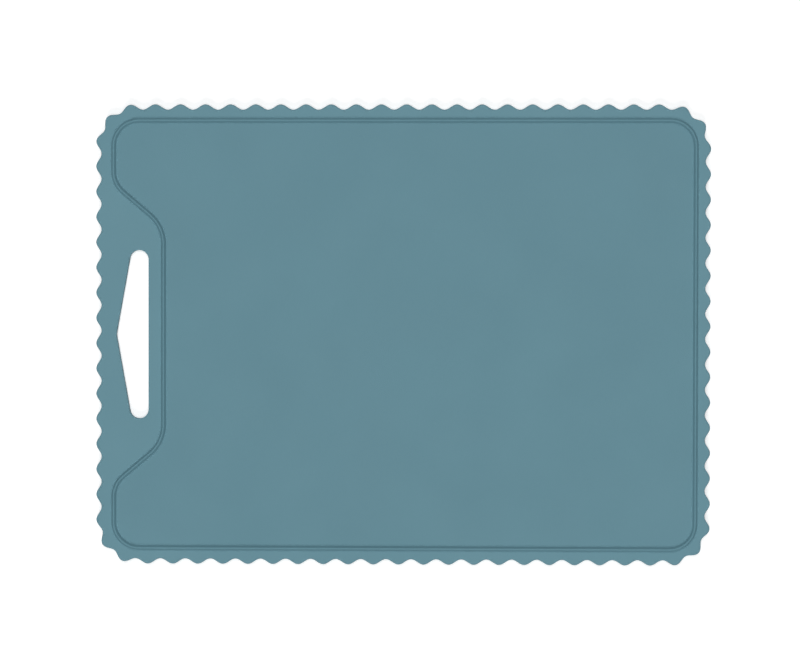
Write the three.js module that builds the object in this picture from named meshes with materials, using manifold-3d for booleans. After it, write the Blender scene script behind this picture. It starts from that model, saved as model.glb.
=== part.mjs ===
// A silicone cutting board with a wavy edge, a raised juice bead and a hand slot.
// Two silicone skins are moulded round a stiff core plate, and lock together through its holes.
// Millimetres, +Z up. The origin is the middle of the underside, and the hand slot is at the -X end.

import * as THREE from "three";
import { mergeVertices } from "three/addons/utils/BufferGeometryUtils.js";
import Module from "manifold-3d";

const wasm = await Module();
wasm.setup();

// Board: lengths run along X, widths along Y, heights along Z
const BOARD_LENGTH = 300; // over the wave crests
const BOARD_WIDTH = 224.8; // over the wave crests
const CORNER_RADIUS = 18.5; // of the edge line, which the wave swings about
const EDGE_ROUNDING = 0.6; // where the outer edge and the slot wall meet the two faces

// Wavy edge
const LONG_SIDE_WAVES = 21.2; // on the straight part of a long side
const SHORT_SIDE_WAVES = 15; // on the straight part of a short side
const CORNER_WAVES = 2.4;
const FIRST_CREST = 0.25; // in waves, from the start of the corner at -X, +Y
const WAVE_HEIGHT = 2.6; // valley to crest
const POINTS_PER_WAVE = 8;

// Layers, from the underside up
const BASE_COVER = 1.1; // silicone under the core
const CORE_THICKNESS = 1.8;
const TOP_COVER = 1.1; // silicone over the core
const BOND_GAP = 0.05; // between the flat faces that are bonded together
const FIT_CLEARANCE = 0.3; // between the core and the silicone beside it

// Juice bead: a raised line round the cutting face, placed by its centre line
const BEAD_HEIGHT = 1.4; // above the cutting face
const BEAD_WIDTH = 2.4; // at the cutting face
const BEAD_CREST = 0.6; // width of the flat crest
const BEAD_ROOT = 0.3; // how deep the bead is rooted in the skin
const RIM_SIDE = 6.6; // edge line to bead along the two long sides
const RIM_SLOT_END = 7.4; // edge line to bead at the slot end
const RIM_PLAIN_END = 6; // edge line to bead at the other end

// Hand slot: one straight wall, two slanting walls that meet in a blunt apex near the edge
const SLOT_LENGTH = 82.3;
const SLOT_WIDTH = 15.7; // straight wall to apex
const SLOT_END_RADIUS = 4.6;
const SLOT_APEX_RADIUS = 6;
const HANDLE_BAR = 8.7; // edge line to apex

// Bay: the bead steps inwards to pass the hand slot
const SLOT_TO_BAY = 7.4; // straight wall to the bead beside it
const BAY_END_MARGIN = 11.6; // slot end to the inner corner of the bay
const BAY_FLARE = 20.7; // inner to outer corner of the bay, along Y
const BAY_INNER_RADIUS = 18.5;
const BAY_OUTER_RADIUS = 13;

// Core plate and the studs that lock the skins through it
const CORE_EDGE_COVER = 2.5; // wave valleys to the core's edge
const CORE_SLOT_COVER = 2; // slot wall to the core's own opening
const STUD_DIAMETER = 6;
const STUD_PITCH = 44;
const STUD_ROOT = 0.5; // how deep a stud is rooted in the base skin
const STUD_EDGE_MARGIN = 5; // core left between a stud hole and the core's edges
const STUD_SIDES = 12;

const ARC_DIVISIONS = 4; // half the number of chords in each rounded corner
const SLAB_MARGIN = 5; // how far the slabs that split the blank reach past it
const MERGE_DISTANCE = 1e-5;

const SILICONE_COLOUR = 0x658a96;
const CORE_COLOUR = 0xd9d7cc;

// Heights
const CORE_BOTTOM = BASE_COVER;
const CORE_TOP = CORE_BOTTOM + CORE_THICKNESS;
const PARTING = (CORE_BOTTOM + CORE_TOP) / 2;
const CUTTING_FACE = CORE_TOP + TOP_COVER;

// Places worked out from the driving dimensions
const EDGE_X = (BOARD_LENGTH - WAVE_HEIGHT) / 2;
const EDGE_Y = (BOARD_WIDTH - WAVE_HEIGHT) / 2;
const CORE_INSET = WAVE_HEIGHT / 2 + CORE_EDGE_COVER;
const SLOT_APEX_X = HANDLE_BAR - EDGE_X;
const SLOT_WALL_X = SLOT_APEX_X + SLOT_WIDTH;
const BAY_X = SLOT_WALL_X + SLOT_TO_BAY;
const BAY_INNER_Y = SLOT_LENGTH / 2 + BAY_END_MARGIN;
const BAY_OUTER_Y = BAY_INNER_Y + BAY_FLARE;

const corner = (x, y, radius) => ({ at: new THREE.Vector2(x, y), radius });

// Corner lists run anticlockwise seen from above.
const EDGE_LINE = [
  corner(-EDGE_X, EDGE_Y, CORNER_RADIUS),
  corner(-EDGE_X, -EDGE_Y, CORNER_RADIUS),
  corner(EDGE_X, -EDGE_Y, CORNER_RADIUS),
  corner(EDGE_X, EDGE_Y, CORNER_RADIUS),
];

const BEAD_Y = EDGE_Y - RIM_SIDE;
const BEAD_SLOT_END_X = RIM_SLOT_END - EDGE_X;
const BEAD_PLAIN_END_X = EDGE_X - RIM_PLAIN_END;
const BEAD_CORNER_RADIUS = CORNER_RADIUS - RIM_PLAIN_END;
const BEAD_LINE = [
  corner(BEAD_SLOT_END_X, BEAD_Y, BEAD_CORNER_RADIUS),
  corner(BEAD_SLOT_END_X, BAY_OUTER_Y, BAY_OUTER_RADIUS),
  corner(BAY_X, BAY_INNER_Y, BAY_INNER_RADIUS),
  corner(BAY_X, -BAY_INNER_Y, BAY_INNER_RADIUS),
  corner(BEAD_SLOT_END_X, -BAY_OUTER_Y, BAY_OUTER_RADIUS),
  corner(BEAD_SLOT_END_X, -BEAD_Y, BEAD_CORNER_RADIUS),
  corner(BEAD_PLAIN_END_X, -BEAD_Y, BEAD_CORNER_RADIUS),
  corner(BEAD_PLAIN_END_X, BEAD_Y, BEAD_CORNER_RADIUS),
];

// The sides that run into and out of a corner.
function sidesAt(corners, i) {
  const before = corners.at(i - 1).at;
  const after = corners[(i + 1) % corners.length].at;
  return [corners[i].at.clone().sub(before), after.clone().sub(corners[i].at)];
}

// A corner list moved outwards by a distance, or inwards if it is negative, with its radii to match.
function grown(corners, distance) {
  return corners.map(({ at, radius }, i) => {
    const [before, after] = sidesAt(corners, i).map((side) => side.normalize());
    const spread = new THREE.Vector2(before.y + after.y, -before.x - after.x);
    const moved = at.clone().addScaledVector(spread, distance / (1 + before.dot(after)));
    return { at: moved, radius: radius + Math.sign(before.cross(after)) * distance };
  });
}

// A closed path round the corners, each rounded to its radius or to what its sides leave room for.
function roundedPath(corners) {
  const path = new THREE.Path();
  corners.forEach(({ at, radius }, i) => {
    const [before, after] = sidesAt(corners, i);
    const turn = Math.atan2(before.cross(after), before.dot(after));
    const steepness = Math.tan(Math.abs(turn) / 2);
    const reach = Math.min(radius * steepness, before.length() / 2, after.length() / 2);
    const fitted = reach / steepness;
    const inwards = before.angle() + (Math.sign(turn) * Math.PI) / 2;
    const start = at.clone().addScaledVector(before.normalize(), -reach);
    const centreX = start.x + fitted * Math.cos(inwards);
    const centreY = start.y + fitted * Math.sin(inwards);
    const startAngle = inwards + Math.PI;
    path.absarc(centreX, centreY, fitted, startAngle, startAngle + turn, turn < 0);
  });
  path.closePath();
  return path;
}

// The points of a closed path, without the last one, which repeats the first.
const pointsOf = (path) => path.getPoints(ARC_DIVISIONS).slice(0, -1);

// The curve of the edge line that a number of waves leads to, and the share of it that they take up.
function placeOnEdge(curves, waves) {
  const counts = [CORNER_WAVES, SHORT_SIDE_WAVES, CORNER_WAVES, LONG_SIDE_WAVES];
  let i = 0;
  let rest = waves;
  while (rest >= counts[i % counts.length]) {
    rest -= counts[i % counts.length];
    i += 1;
  }
  return [curves[i % curves.length], rest / counts[i % counts.length]];
}

// The board's outer edge: a whole number of cosine waves that swing about the edge line.
function wavyOutline() {
  const { curves } = roundedPath(EDGE_LINE); // a corner and the side after it, four times
  const waves = 2 * (LONG_SIDE_WAVES + SHORT_SIDE_WAVES) + EDGE_LINE.length * CORNER_WAVES;
  const steps = Math.round(waves) * POINTS_PER_WAVE;
  return Array.from({ length: steps }, (_, i) => {
    const [curve, along] = placeOnEdge(curves, FIRST_CREST + (waves * i) / steps);
    const tangent = curve.getTangent(along);
    const outwards = new THREE.Vector2(tangent.y, -tangent.x);
    const swing = (WAVE_HEIGHT / 2) * Math.cos((2 * Math.PI * i) / POINTS_PER_WAVE);
    return curve.getPoint(along).addScaledVector(outwards, swing);
  });
}

// The hand slot's outline, widened all round by a cover.
function slotOutline(cover) {
  const endX = SLOT_WALL_X - SLOT_END_RADIUS;
  const endY = SLOT_LENGTH / 2 - SLOT_END_RADIUS;
  const apexX = SLOT_APEX_X + SLOT_APEX_RADIUS;
  const toEnd = new THREE.Vector2(endX - apexX, endY);
  const lean = Math.acos((SLOT_APEX_RADIUS - SLOT_END_RADIUS) / toEnd.length());
  const flank = toEnd.angle() + lean; // the direction that the upper slanting wall faces
  const endRadius = SLOT_END_RADIUS + cover;
  const path = new THREE.Path();
  path.absarc(endX, endY, endRadius, 0, flank);
  path.absarc(apexX, 0, SLOT_APEX_RADIUS + cover, flank, 2 * Math.PI - flank);
  path.absarc(endX, -endY, endRadius, 2 * Math.PI - flank, 2 * Math.PI);
  path.closePath();
  return pointsOf(path);
}

const coreOutline = (clearance) => pointsOf(roundedPath(grown(EDGE_LINE, clearance - CORE_INSET)));

// A closed solid from a geometry, ready to be joined or cut.
function solidOf(geometry) {
  geometry.deleteAttribute("normal");
  geometry.deleteAttribute("uv");
  const merged = mergeVertices(geometry, MERGE_DISTANCE);
  const vertProperties = merged.getAttribute("position").array;
  const triVerts = new Uint32Array(merged.getIndex().array);
  return new wasm.Manifold(new wasm.Mesh({ numProp: 3, vertProperties, triVerts }));
}

// A plate with an opening, between two heights, with its edges bevelled if a rounding is given.
function plate(outline, opening, bottom, top, rounding = 0) {
  const shape = new THREE.Shape(outline);
  shape.holes.push(new THREE.Path(opening));
  const geometry = new THREE.ExtrudeGeometry(shape, {
    depth: top - bottom - 2 * rounding,
    bevelEnabled: rounding > 0,
    bevelThickness: rounding,
    bevelSize: rounding,
    bevelOffset: -rounding,
    bevelSegments: 1,
  });
  return solidOf(geometry.translate(0, 0, bottom + rounding));
}

// A flat slab, wider than the board, between two heights.
function slab(bottom, top) {
  const length = BOARD_LENGTH + 2 * SLAB_MARGIN;
  const width = BOARD_WIDTH + 2 * SLAB_MARGIN;
  const geometry = new THREE.BoxGeometry(length, width, top - bottom);
  return solidOf(geometry.translate(0, 0, (bottom + top) / 2));
}

// The juice bead: a ring with slanting flanks, rooted in the skin below the cutting face.
function juiceBead() {
  const ring = new THREE.Shape(pointsOf(roundedPath(grown(BEAD_LINE, BEAD_CREST / 2))));
  const inside = pointsOf(roundedPath(grown(BEAD_LINE, -BEAD_CREST / 2)));
  ring.holes.push(new THREE.Path(inside));
  const geometry = new THREE.ExtrudeGeometry(ring, {
    depth: BEAD_ROOT,
    bevelThickness: BEAD_HEIGHT,
    bevelSize: (BEAD_WIDTH - BEAD_CREST) / 2,
    bevelSegments: 1,
  });
  const foot = CUTTING_FACE - BEAD_ROOT;
  return solidOf(geometry.translate(0, 0, foot)).subtract(slab(-SLAB_MARGIN, foot));
}

// The grid of studs, without the places that the hand slot takes.
function studPlaces() {
  const keepOff = STUD_DIAMETER / 2 + FIT_CLEARANCE + STUD_EDGE_MARGIN;
  const columns = Math.floor((EDGE_X - CORE_INSET - keepOff) / STUD_PITCH);
  const rows = Math.floor((EDGE_Y - CORE_INSET - keepOff) / STUD_PITCH);
  const slotReach = CORE_SLOT_COVER + keepOff;
  const places = [];
  for (let column = -columns; column <= columns; column += 1) {
    for (let row = -rows; row <= rows; row += 1) {
      const place = new THREE.Vector2(column * STUD_PITCH, row * STUD_PITCH);
      const besideWall = place.x < SLOT_WALL_X + slotReach;
      const besideEnds = Math.abs(place.y) < SLOT_LENGTH / 2 + slotReach;
      if (!(besideWall && besideEnds)) places.push(place);
    }
  }
  return places;
}

// An upright pin at each stud place, between two heights.
function pins(radius, bottom, top) {
  return studPlaces().map(({ x, y }) => {
    const geometry = new THREE.CylinderGeometry(radius, radius, top - bottom, STUD_SIDES);
    geometry.rotateX(Math.PI / 2);
    return solidOf(geometry.translate(x, y, (bottom + top) / 2));
  });
}

// The whole moulded board without its core, split at the parting height into the two skins.
const blank = plate(wavyOutline(), slotOutline(0), 0, CUTTING_FACE, EDGE_ROUNDING);
const pocket = plate(
  coreOutline(FIT_CLEARANCE),
  slotOutline(CORE_SLOT_COVER - FIT_CLEARANCE),
  CORE_BOTTOM - BOND_GAP,
  CORE_TOP + BOND_GAP,
);

function cuttingSkin() {
  const lowerHalf = slab(-SLAB_MARGIN, PARTING + BOND_GAP / 2);
  return blank.subtract(lowerHalf).subtract(pocket).add(juiceBead());
}

function baseSkin() {
  const upperHalf = slab(PARTING - BOND_GAP / 2, CUTTING_FACE + SLAB_MARGIN);
  const tray = blank.subtract(upperHalf).subtract(pocket);
  const studs = pins(STUD_DIAMETER / 2, CORE_BOTTOM - BOND_GAP - STUD_ROOT, CORE_TOP);
  return studs.reduce((solid, stud) => solid.add(stud), tray);
}

function corePlate() {
  const sheet = plate(coreOutline(0), slotOutline(CORE_SLOT_COVER), CORE_BOTTOM, CORE_TOP);
  const holes = pins(STUD_DIAMETER / 2 + FIT_CLEARANCE, CORE_BOTTOM - BOND_GAP, CORE_TOP + BOND_GAP);
  return holes.reduce((solid, hole) => solid.subtract(hole), sheet);
}

// A named mesh from a solid.
function meshOf(name, solid, look) {
  const { vertProperties, triVerts } = solid.getMesh();
  const geometry = new THREE.BufferGeometry();
  geometry.setAttribute("position", new THREE.BufferAttribute(vertProperties, 3));
  geometry.setIndex(new THREE.BufferAttribute(triVerts, 1));
  const mesh = new THREE.Mesh(geometry, new THREE.MeshStandardMaterial(look));
  mesh.name = name;
  return mesh;
}

const silicone = { color: SILICONE_COLOUR, roughness: 0.6, metalness: 0 };
const filledPlastic = { color: CORE_COLOUR, roughness: 0.5, metalness: 0 };

const board = new THREE.Group();
board.add(meshOf("cutting_skin", cuttingSkin(), silicone));
board.add(meshOf("core_plate", corePlate(), filledPlastic));
board.add(meshOf("base_skin", baseSkin(), silicone));

export default board;
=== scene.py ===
import math

import bmesh
import bpy
from mathutils import Matrix, Quaternion, Vector


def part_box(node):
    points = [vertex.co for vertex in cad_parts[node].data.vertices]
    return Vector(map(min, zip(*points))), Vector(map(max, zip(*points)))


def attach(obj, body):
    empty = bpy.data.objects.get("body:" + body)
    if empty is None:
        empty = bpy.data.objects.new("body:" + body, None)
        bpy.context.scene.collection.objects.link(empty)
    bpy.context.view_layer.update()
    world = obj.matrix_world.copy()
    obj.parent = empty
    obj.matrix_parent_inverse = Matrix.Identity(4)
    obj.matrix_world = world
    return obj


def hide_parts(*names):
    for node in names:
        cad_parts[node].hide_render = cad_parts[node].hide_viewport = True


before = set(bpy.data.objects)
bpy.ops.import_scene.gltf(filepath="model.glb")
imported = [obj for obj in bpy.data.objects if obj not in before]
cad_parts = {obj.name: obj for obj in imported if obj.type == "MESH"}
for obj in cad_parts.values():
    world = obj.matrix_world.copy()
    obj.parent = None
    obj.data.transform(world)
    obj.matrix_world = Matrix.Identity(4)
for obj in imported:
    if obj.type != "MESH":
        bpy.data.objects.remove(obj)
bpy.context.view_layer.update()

# Two silicone skins take the place of the plain ones, and the core plate gets its finish. Metres, +Z up.

MM = 0.001

# Wavy edge
LONG_SIDE_WAVES = 21.2
SHORT_SIDE_WAVES = 15
CORNER_WAVES = 2.4
FIRST_CREST = 0.25  # in waves, from the start of the corner at -X, +Y
WAVE_SWING = 1.3 * MM  # to either side of the edge line
CORNER_RADIUS = 18.5 * MM
POINTS_PER_WAVE = 20

# Edges of the mouldings
EDGE_RADIUS = 0.6 * MM
SLOT_EDGE_RADIUS = 0.15 * MM
EDGE_DRAFT = 0.06 * MM  # lean of a wall, from the parting line to a face
PARTING_BREAK = 0.12 * MM  # rounding of a wall at the parting line
EDGE_STEPS = 6
HOLD_WIDTH = 0.3 * MM  # flat band that keeps the shading of a face clear of the rounding beside it

# Raised juice bead
BEAD_HEIGHT = 1.4 * MM
BEAD_WIDTH = 2.4 * MM
BEAD_CREST = 0.6 * MM
BEAD_FOOT_RADIUS = 0.15 * MM
BEAD_CREST_RADIUS = 0.5 * MM
BEAD_STEPS = 4
RIM_SIDE = 6.6 * MM  # edge line to bead along the two long sides
RIM_SLOT_END = 7.4 * MM  # edge line to bead at the slot end
RIM_PLAIN_END = 6 * MM  # edge line to bead at the other end

# Hand slot and the bay that the bead makes round it
SLOT_LENGTH = 82.3 * MM
SLOT_WIDTH = 15.7 * MM
SLOT_END_RADIUS = 4.6 * MM
SLOT_APEX_RADIUS = 6 * MM
HANDLE_BAR = 8.7 * MM  # edge line to apex
SLOT_TO_BAY = 7.4 * MM  # straight wall to the bead beside it
BAY_END_MARGIN = 11.6 * MM
BAY_FLARE = 20.7 * MM
BAY_INNER_RADIUS = 18.5 * MM
BAY_OUTER_RADIUS = 13 * MM

# Pocket for the core plate, and the studs that pass through it
FIT_CLEARANCE = 0.3 * MM
BOND_GAP = 0.05 * MM
CORE_SLOT_COVER = 2 * MM
STUD_RADIUS = 3 * MM
STUD_PITCH = 44 * MM
STUD_EDGE_MARGIN = 5 * MM

# Fineness of the meshes
CORNER_STEPS = 24
STUD_STEPS = 24
SHARP_ANGLE = math.radians(50)  # edges that turn by more than this keep a crisp shading

# The part of its range from 0 to 1 that a noise mostly fills
NOISE_LOW = 0.3
NOISE_HIGH = 0.7

# Silicone
FIELD_SHADE = (0.1115, 0.2295, 0.276)
FIELD_TINT = (0.1165, 0.2395, 0.2875)
# The rim's two colours are a little lighter than the field's.
RIM_SHADE = (0.1145, 0.237, 0.2845)
RIM_TINT = (0.1195, 0.247, 0.2955)
SILICONE_IOR = 1.41
SILICONE_SPECULAR = 0.15
FIELD_ROUGH = (0.55, 0.62)
RIM_ROUGH = (0.5, 0.57)
FINE_GRAIN = 0.4 * MM
COARSE_GRAIN = 0.6 * MM
RIM_GRAIN_DEPTH = 0.05 * MM
FIELD_GRAIN_DEPTH = 0.08 * MM
BASE_GRAIN_DEPTH = 0.12 * MM
GRAIN_DETAIL = 2
CLOUD_SIZE = 45 * MM
CLOUD_DETAIL = 8
SMUDGE_SIZE = 30 * MM
SMUDGE_DETAIL = 5
SWELL_SIZE = 70 * MM
SWELL_DEPTH = 0.06 * MM
SWELL_DETAIL = 1

# Core plastic
PLASTIC_SHADE = (0.64, 0.63, 0.55)
PLASTIC_TINT = (0.74, 0.73, 0.65)
PLASTIC_ROUGH = (0.45, 0.6)
PLASTIC_DETAIL = 3
FIBRE_SIZE = 0.6 * MM
FIBRE_STRETCH = (0.15, 1, 1)
FIBRE_DEPTH = 0.02 * MM

# Stage and lights, in metres and watts
WHITE = (1, 1, 1, 1)
FLOOR_REACH = 6
FLOOR_COLOUR = (0.85, 0.85, 0.85)
FLOOR_GLOW = 0.24  # near the board
GLOW_START = 0.3  # distance from the middle where the glow starts to rise
GLOW_FULL = 1.2  # distance where it reaches 1
WORLD_LIGHT = 0.04  # on surfaces, while the world itself looks white
SOFTBOXES = (  # name, place, size and power
    ("top_softbox", (0.0, 0.1, 6.0), (2.4, 3.6), 240),
    ("far_softbox", (0.0, 2.4, 2.6), (1.6, 1.2), 26),
    ("near_softbox", (-0.3, -2.6, 2.3), (1.6, 1.2), 39),
)

# Camera, placed by the photograph's 800 x 667 frame
IMAGE_WIDTH = 800
PIXEL = 0.488 * MM  # width of a pixel at the cutting face
AIM_X = -1.22 * MM  # the point in the middle of the picture
AIM_Y = 0.654 * MM
CAMERA_DISTANCE = 1.5
CAMERA_LEAN_X = 0.0276  # step aside for each step up
CAMERA_LEAN_Y = 0.0215
CAMERA_ROLL = 0.0016  # radians
SENSOR = 36  # millimetres

# Places read from the frame
skin_low, skin_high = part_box("cutting_skin")
core_low, core_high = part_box("core_plate")
CUTTING_FACE = skin_high.z - BEAD_HEIGHT
EDGE_X = skin_high.x - WAVE_SWING
EDGE_Y = skin_high.y - WAVE_SWING
PARTING_TOP = skin_low.z
PARTING_BASE = skin_low.z - BOND_GAP
POCKET_CEILING = core_high.z + BOND_GAP
POCKET_FLOOR = core_low.z - BOND_GAP
CORE_RADIUS = CORNER_RADIUS - (EDGE_X - core_high.x)

# Places worked out from the sizes
SLOT_APEX_X = HANDLE_BAR - EDGE_X
SLOT_WALL_X = SLOT_APEX_X + SLOT_WIDTH
BAY_X = SLOT_WALL_X + SLOT_TO_BAY
BAY_INNER_Y = SLOT_LENGTH / 2 + BAY_END_MARGIN
BAY_OUTER_Y = BAY_INNER_Y + BAY_FLARE
BEAD_Y = EDGE_Y - RIM_SIDE
BEAD_SLOT_END_X = RIM_SLOT_END - EDGE_X
BEAD_PLAIN_END_X = EDGE_X - RIM_PLAIN_END
BEAD_RADIUS = CORNER_RADIUS - RIM_PLAIN_END


# A track is a list of points with their outward directions, anticlockwise seen from above.

def direction(angle):
    return Vector((math.cos(angle), math.sin(angle)))


def arc_track(centre, radius, start, turn, steps):
    """Points along an arc. A negative turn is a hollow corner, where outwards is towards the centre."""
    side = math.copysign(1, turn)
    track = []
    for i in range(steps + 1):
        out = direction(start + turn * i / steps) * side
        track.append((centre + out * radius * side, out))
    return track


def corner_arc(before, corner, after, steps):
    """The arc that rounds a corner (x, y, radius) between the two corners beside it."""
    x, y, radius = corner
    here = Vector((x, y))
    inbound = here - Vector(before[:2])
    outbound = Vector(after[:2]) - here
    turn = math.atan2(inbound.cross(outbound), inbound.dot(outbound))
    inwards = math.atan2(inbound.y, inbound.x) + math.copysign(math.pi / 2, turn)
    start = here - inbound.normalized() * radius * math.tan(abs(turn) / 2)
    centre = start + direction(inwards) * radius
    return arc_track(centre, radius, inwards + math.pi, turn, steps)


def rounded_track(corners):
    """The round corners of a closed outline. Its straight sides need no points of their own."""
    track = []
    for i, corner in enumerate(corners):
        after = corners[(i + 1) % len(corners)]
        track += corner_arc(corners[i - 1], corner, after, CORNER_STEPS)
    return track


def edge_line(waves):
    """The point, and its outward direction, that a number of waves along the edge line leads to."""
    across = Vector((EDGE_X - CORNER_RADIUS, EDGE_Y - CORNER_RADIUS))
    short = (2 * across.y, SHORT_SIDE_WAVES)
    long = (2 * across.x, LONG_SIDE_WAVES)
    quarters = ((-1, 1, short), (-1, -1, long), (1, -1, short), (1, 1, long))
    for quarter, (side_x, side_y, (length, side_waves)) in enumerate(quarters):
        start = math.pi / 2 * (quarter + 1)
        centre = Vector((across.x * side_x, across.y * side_y))
        if waves < CORNER_WAVES:
            out = direction(start + math.pi / 2 * waves / CORNER_WAVES)
            return centre + out * CORNER_RADIUS, out
        waves -= CORNER_WAVES
        if waves < side_waves:
            out = direction(start + math.pi / 2)
            return centre + out * CORNER_RADIUS + out.orthogonal() * length * waves / side_waves, out
        waves -= side_waves
    return edge_line(waves)


def wave_track():
    """A whole number of cosine waves that swing about the edge line."""
    wave_count = round(2 * (LONG_SIDE_WAVES + SHORT_SIDE_WAVES) + 4 * CORNER_WAVES)
    steps = wave_count * POINTS_PER_WAVE
    points = []
    for i in range(steps):
        waves = i / POINTS_PER_WAVE
        point, out = edge_line(FIRST_CREST + waves)
        points.append(point + out * WAVE_SWING * math.cos(2 * math.pi * waves))
    track = []
    for i, point in enumerate(points):
        along = points[(i + 1) % steps] - points[i - 1]
        track.append((point, Vector((along.y, -along.x)).normalized()))
    return track


def slot_track():
    end_x = SLOT_WALL_X - SLOT_END_RADIUS
    end_y = SLOT_LENGTH / 2 - SLOT_END_RADIUS
    apex = Vector((SLOT_APEX_X + SLOT_APEX_RADIUS, 0))
    to_end = Vector((end_x, end_y)) - apex
    lean = math.acos((SLOT_APEX_RADIUS - SLOT_END_RADIUS) / to_end.length)
    flank = math.atan2(to_end.y, to_end.x) + lean
    apex_turn = 2 * (math.pi - flank)
    track = arc_track(Vector((end_x, end_y)), SLOT_END_RADIUS, 0, flank, CORNER_STEPS)
    track += arc_track(apex, SLOT_APEX_RADIUS, flank, apex_turn, CORNER_STEPS)
    track += arc_track(Vector((end_x, -end_y)), SLOT_END_RADIUS, -flank, flank, CORNER_STEPS)
    return track


def rectangle(half_x, half_y, radius):
    return [(-half_x, half_y, radius), (-half_x, -half_y, radius),
            (half_x, -half_y, radius), (half_x, half_y, radius)]


WAVE = wave_track()
SLOT = slot_track()
BEAD = rounded_track([
    (BEAD_SLOT_END_X, BEAD_Y, BEAD_RADIUS),
    (BEAD_SLOT_END_X, BAY_OUTER_Y, BAY_OUTER_RADIUS),
    (BAY_X, BAY_INNER_Y, BAY_INNER_RADIUS),
    (BAY_X, -BAY_INNER_Y, BAY_INNER_RADIUS),
    (BEAD_SLOT_END_X, -BAY_OUTER_Y, BAY_OUTER_RADIUS),
    (BEAD_SLOT_END_X, -BEAD_Y, BEAD_RADIUS),
    (BEAD_PLAIN_END_X, -BEAD_Y, BEAD_RADIUS),
    (BEAD_PLAIN_END_X, BEAD_Y, BEAD_RADIUS),
])
CORE_EDGE = rounded_track(rectangle(core_high.x, core_high.y, CORE_RADIUS))


# A profile is a list of (offset, height) pairs that is swept along a track.

def rounded_profile(corners, steps):
    """An open profile with each inner corner (offset, height, radius) rounded."""
    profile = [corners[0][:2]]
    for before, corner, after in zip(corners, corners[1:], corners[2:]):
        profile += [tuple(point) for point, _ in corner_arc(before, corner, after, steps)]
    profile.append(corners[-1][:2])
    return profile


def edge_profile(parting, face, radius):
    """From the parting line to a flat face, with offsets counted into the material."""
    return rounded_profile([
        (2 * PARTING_BREAK, parting, 0),
        (0, parting, PARTING_BREAK),
        (EDGE_DRAFT, face, radius),
        (EDGE_DRAFT + radius + HOLD_WIDTH, face, 0),
    ], EDGE_STEPS)


def bead_profile():
    """From the rim to the field, over the bead."""
    hold = BEAD_WIDTH / 2 + BEAD_FOOT_RADIUS + HOLD_WIDTH
    crest = CUTTING_FACE + BEAD_HEIGHT
    return rounded_profile([
        (hold, CUTTING_FACE, 0),
        (BEAD_WIDTH / 2, CUTTING_FACE, BEAD_FOOT_RADIUS),
        (BEAD_CREST / 2, crest, BEAD_CREST_RADIUS),
        (-BEAD_CREST / 2, crest, BEAD_CREST_RADIUS),
        (-BEAD_WIDTH / 2, CUTTING_FACE, BEAD_FOOT_RADIUS),
        (-hold, CUTTING_FACE, 0),
    ], BEAD_STEPS)


def sweep(mesh, track, profile, sign=1, finish=0):
    """Rings of the profile along the track, joined by quads. Returns the first and the last ring."""
    rings = []
    for offset, height in profile:
        places = [point + out * offset * sign for point, out in track]
        rings.append([mesh.verts.new((place.x, place.y, height)) for place in places])
    for lower, upper in zip(rings, rings[1:]):
        for i in range(len(track)):
            face = mesh.faces.new((lower[i - 1], lower[i], upper[i], upper[i - 1]))
            face.material_index = finish
    return rings[0], rings[-1]


def fill(mesh, *rings, finish=0):
    """A flat face bounded by the rings, in one of the piece's finishes."""
    edges = []
    for ring in rings:
        for i, vertex in enumerate(ring):
            pair = (ring[i - 1], vertex)
            edges.append(mesh.edges.get(pair) or mesh.edges.new(pair))
    made = bmesh.ops.triangle_fill(mesh, edges=edges, use_beauty=True, normal=(0, 0, 1))
    for item in made["geom"]:
        if isinstance(item, bmesh.types.BMFace):
            item.material_index = finish


def finish_mesh(mesh, name, materials):
    bmesh.ops.recalc_face_normals(mesh, faces=mesh.faces)
    data = bpy.data.meshes.new(name)
    mesh.to_mesh(data)
    mesh.free()
    data.shade_smooth()
    data.set_sharp_from_angle(angle=SHARP_ANGLE)
    for material in materials:
        data.materials.append(material)
    piece = bpy.data.objects.new(name, data)
    bpy.context.scene.collection.objects.link(piece)
    return piece


def upper_skin(rim_finish, field_finish):
    mesh = bmesh.new()
    edge = edge_profile(PARTING_TOP, CUTTING_FACE, EDGE_RADIUS)
    slot_edge = edge_profile(PARTING_TOP, CUTTING_FACE, SLOT_EDGE_RADIUS)
    edge_foot, edge_top = sweep(mesh, WAVE, edge, -1)
    slot_foot, slot_top = sweep(mesh, SLOT, slot_edge)
    rim, field = sweep(mesh, BEAD, bead_profile(), finish=1)
    heights = (PARTING_TOP, POCKET_CEILING)
    pocket_foot, pocket_top = sweep(mesh, CORE_EDGE, [(FIT_CLEARANCE, z) for z in heights])
    inner = CORE_SLOT_COVER - FIT_CLEARANCE
    collar_foot, collar_top = sweep(mesh, SLOT, [(inner, z) for z in heights])
    fill(mesh, edge_top, rim, slot_top)
    fill(mesh, field, finish=1)
    fill(mesh, edge_foot, pocket_foot)
    fill(mesh, slot_foot, collar_foot)
    fill(mesh, pocket_top, collar_top)
    return finish_mesh(mesh, "upper_silicone", (rim_finish, field_finish))


def stud_places():
    keep_off = STUD_RADIUS + FIT_CLEARANCE + STUD_EDGE_MARGIN
    columns = int((core_high.x - keep_off) / STUD_PITCH)
    rows = int((core_high.y - keep_off) / STUD_PITCH)
    slot_reach = CORE_SLOT_COVER + keep_off
    places = []
    for column in range(-columns, columns + 1):
        for row in range(-rows, rows + 1):
            place = Vector((column * STUD_PITCH, row * STUD_PITCH))
            beside_wall = place.x < SLOT_WALL_X + slot_reach
            beside_ends = abs(place.y) < SLOT_LENGTH / 2 + slot_reach
            if not (beside_wall and beside_ends):
                places.append(place)
    return places


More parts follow.
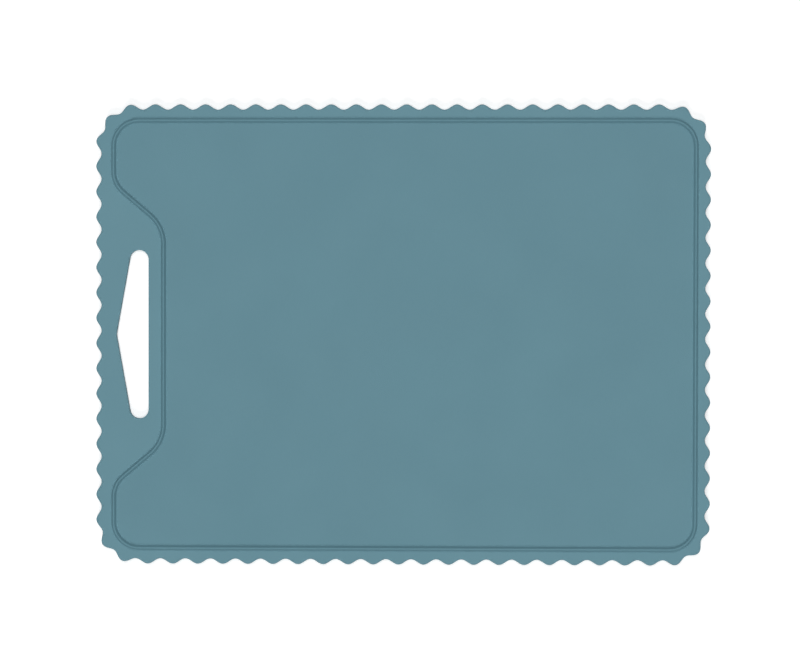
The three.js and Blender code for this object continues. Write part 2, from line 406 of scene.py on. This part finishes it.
def lower_skin(material):
    mesh = bmesh.new()
    edge_top, edge_foot = sweep(mesh, WAVE, edge_profile(PARTING_BASE, 0, EDGE_RADIUS), -1)
    slot_top, slot_foot = sweep(mesh, SLOT, edge_profile(PARTING_BASE, 0, SLOT_EDGE_RADIUS))
    heights = (PARTING_BASE, POCKET_FLOOR)
    pocket_top, pocket_foot = sweep(mesh, CORE_EDGE, [(FIT_CLEARANCE, z) for z in heights])
    inner = CORE_SLOT_COVER - FIT_CLEARANCE
    collar_top, collar_foot = sweep(mesh, SLOT, [(inner, z) for z in heights])
    stud_feet = []
    for place in stud_places():
        circle = arc_track(place, STUD_RADIUS, 0, 2 * math.pi, STUD_STEPS)[:-1]
        foot, top = sweep(mesh, circle, [(0, POCKET_FLOOR), (0, core_high.z)])
        fill(mesh, top)
        stud_feet.append(foot)
    fill(mesh, edge_foot, slot_foot)
    fill(mesh, edge_top, pocket_top)
    fill(mesh, slot_top, collar_top)
    fill(mesh, pocket_foot, collar_foot, *stud_feet)
    return finish_mesh(mesh, "lower_silicone", (material,))


# Materials. An input of a node is linked to a socket or set to a value.

def add_node(tree, kind, inputs=(), **settings):
    node = tree.nodes.new(kind)
    for name, value in settings.items():
        setattr(node, name, value)
    set_inputs(tree, node, dict(inputs))
    return node


def set_inputs(tree, node, inputs):
    for name, value in inputs.items():
        if isinstance(value, bpy.types.NodeSocket):
            tree.links.new(value, node.inputs[name])
        else:
            node.inputs[name].default_value = value


def noise(tree, place, size, detail):
    """Noise whose patches are about one size across."""
    inputs = {"Vector": place, "Scale": 1 / size, "Detail": detail}
    return add_node(tree, "ShaderNodeTexNoise", inputs).outputs["Fac"]


def spread(tree, value, low, high):
    """Noise stretched to run from low to high."""
    noise_range = {"From Min": NOISE_LOW, "From Max": NOISE_HIGH}
    inputs = {"Value": value, **noise_range, "To Min": low, "To Max": high}
    return add_node(tree, "ShaderNodeMapRange", inputs).outputs["Result"]


def toned(tree, value, shade, tint):
    """Noise turned into a colour between two colours."""
    ramp = add_node(tree, "ShaderNodeValToRGB", {"Fac": spread(tree, value, 0, 1)})
    for element, colour in zip(ramp.color_ramp.elements, (shade, tint)):
        element.color = (*colour, 1)
    return ramp.outputs["Color"]


def bumped(tree, height, distance, inputs=()):
    inputs = {"Height": height, "Distance": distance, **dict(inputs)}
    return add_node(tree, "ShaderNodeBump", inputs).outputs["Normal"]


def larger(tree, first, second):
    return add_node(tree, "ShaderNodeMath", {0: first, 1: second}, operation="MAXIMUM").outputs[0]


def seen_directly(tree):
    """1 for rays that show a surface to the camera, straight or by a mirror or through glass, else 0."""
    ray = add_node(tree, "ShaderNodeLightPath").outputs
    seen = larger(tree, ray["Is Camera Ray"], ray["Is Glossy Ray"])
    return larger(tree, seen, ray["Is Transmission Ray"])


def new_material(name):
    material = bpy.data.materials.new(name)
    material.use_nodes = True
    tree = material.node_tree
    place = add_node(tree, "ShaderNodeTexCoord").outputs["Object"]
    return material, tree, tree.nodes["Principled BSDF"], place


def silicone(name, colours, rough, grain_size, grain_depth):
    """Matte pigmented silicone: faintly cloudy colour, handling smudges in the sheen, fine mould grain."""
    material, tree, shader, place = new_material(name)
    grain = noise(tree, place, grain_size, GRAIN_DETAIL)
    swell = bumped(tree, noise(tree, place, SWELL_SIZE, SWELL_DETAIL), SWELL_DEPTH)
    cloud = noise(tree, place, CLOUD_SIZE, CLOUD_DETAIL)
    smudge = noise(tree, place, SMUDGE_SIZE, SMUDGE_DETAIL)
    set_inputs(tree, shader, {
        "Base Color": toned(tree, cloud, *colours),
        "Roughness": spread(tree, smudge, *rough),
        "Normal": bumped(tree, grain, grain_depth, {"Normal": swell}),
        "IOR": SILICONE_IOR,
        "Specular IOR Level": SILICONE_SPECULAR,
    })
    return material


def filled_plastic(name):
    """Natural polypropylene with short glass fibres in it."""
    material, tree, shader, place = new_material(name)
    drawn = add_node(tree, "ShaderNodeMapping", {"Vector": place, "Scale": FIBRE_STRETCH})
    fibre = noise(tree, drawn.outputs["Vector"], FIBRE_SIZE, PLASTIC_DETAIL)
    patch = noise(tree, place, CLOUD_SIZE, PLASTIC_DETAIL)
    set_inputs(tree, shader, {
        "Base Color": toned(tree, fibre, PLASTIC_SHADE, PLASTIC_TINT),
        "Roughness": spread(tree, patch, *PLASTIC_ROUGH),
        "Normal": bumped(tree, fibre, FIBRE_DEPTH),
    })
    return material


def pale_floor(name):
    """A floor that looks white to the camera, more so far away, and still takes the board's shadow."""
    material, tree, shader, place = new_material(name)
    away = add_node(tree, "ShaderNodeVectorMath", {0: place}, operation="LENGTH").outputs["Value"]
    reach = {"From Min": GLOW_START, "From Max": GLOW_FULL}
    rise = {"Value": away, **reach, "To Min": FLOOR_GLOW, "To Max": 1}
    glow = add_node(tree, "ShaderNodeMapRange", rise).outputs["Result"]
    lit = add_node(tree, "ShaderNodeMath", {0: glow, 1: seen_directly(tree)}, operation="MULTIPLY")
    set_inputs(tree, shader, {
        "Base Color": (*FLOOR_COLOUR, 1),
        "Roughness": 1,
        "Specular IOR Level": 0,
        "Emission Color": WHITE,
        "Emission Strength": lit.outputs[0],
    })
    return material


# Stage, lights and camera

def add_floor():
    data = bpy.data.meshes.new("floor")
    far = FLOOR_REACH
    corners = [(-far, -far, 0), (far, -far, 0), (far, far, 0), (-far, far, 0)]
    data.from_pydata(corners, [], [range(len(corners))])
    data.materials.append(pale_floor("pale_floor"))
    floor = bpy.data.objects.new("floor", data)
    bpy.context.scene.collection.objects.link(floor)


def add_softbox(name, place, size, power):
    data = bpy.data.lights.new(name, "AREA")
    data.shape = "RECTANGLE"
    data.size, data.size_y = size
    data.energy = power
    lamp = bpy.data.objects.new(name, data)
    lamp.location = place
    lamp.rotation_mode = "QUATERNION"
    lamp.rotation_quaternion = Vector(place).to_track_quat("Z", "Y")
    bpy.context.scene.collection.objects.link(lamp)


def add_world():
    world = bpy.data.worlds.new("studio")
    world.use_nodes = True
    tree = world.node_tree
    strength = {"Value": seen_directly(tree), "To Min": WORLD_LIGHT, "To Max": 1}
    level = add_node(tree, "ShaderNodeMapRange", strength).outputs["Result"]
    set_inputs(tree, tree.nodes["Background"], {"Color": WHITE, "Strength": level})
    bpy.context.scene.world = world


def add_camera():
    aim = Vector((AIM_X, AIM_Y, CUTTING_FACE))
    place = aim + Vector((CAMERA_LEAN_X, CAMERA_LEAN_Y, 1)).normalized() * CAMERA_DISTANCE
    data = bpy.data.cameras.new("camera")
    data.sensor_width = SENSOR
    data.lens = SENSOR * CAMERA_DISTANCE / (IMAGE_WIDTH * PIXEL)
    camera = bpy.data.objects.new("camera", data)
    camera.location = place
    camera.rotation_mode = "QUATERNION"
    back = (place - aim).normalized()
    right = Vector((0, 1, 0)).cross(back).normalized()
    facing = Matrix((right, back.cross(right), back)).transposed().to_quaternion()
    camera.rotation_quaternion = facing @ Quaternion((0, 0, 1), CAMERA_ROLL)
    bpy.context.scene.collection.objects.link(camera)
    bpy.context.scene.camera = camera


bpy.context.scene.view_settings.view_transform = "Standard"
add_camera()
add_floor()
add_world()
for softbox in SOFTBOXES:
    add_softbox(*softbox)

rim_colours = (RIM_SHADE, RIM_TINT)
field_colours = (FIELD_SHADE, FIELD_TINT)
# The rim gets the lighter pair of colours and the field the darker pair.
rim_finish = silicone("rim_silicone", rim_colours, RIM_ROUGH, FINE_GRAIN, RIM_GRAIN_DEPTH)
field_finish = silicone("field_silicone", field_colours, FIELD_ROUGH, FINE_GRAIN, FIELD_GRAIN_DEPTH)
base_finish = silicone("base_silicone", rim_colours, FIELD_ROUGH, COARSE_GRAIN, BASE_GRAIN_DEPTH)
upper = upper_skin(rim_finish, field_finish)
lower = lower_skin(base_finish)
for piece, node, slot in ((upper, "cutting_skin", "silicone_top"), (lower, "base_skin", "silicone_base")):
    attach(piece, "root")
    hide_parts(node)
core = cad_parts["core_plate"]
core.data.materials.clear()
core.data.materials.append(filled_plastic("glass_filled_plastic"))
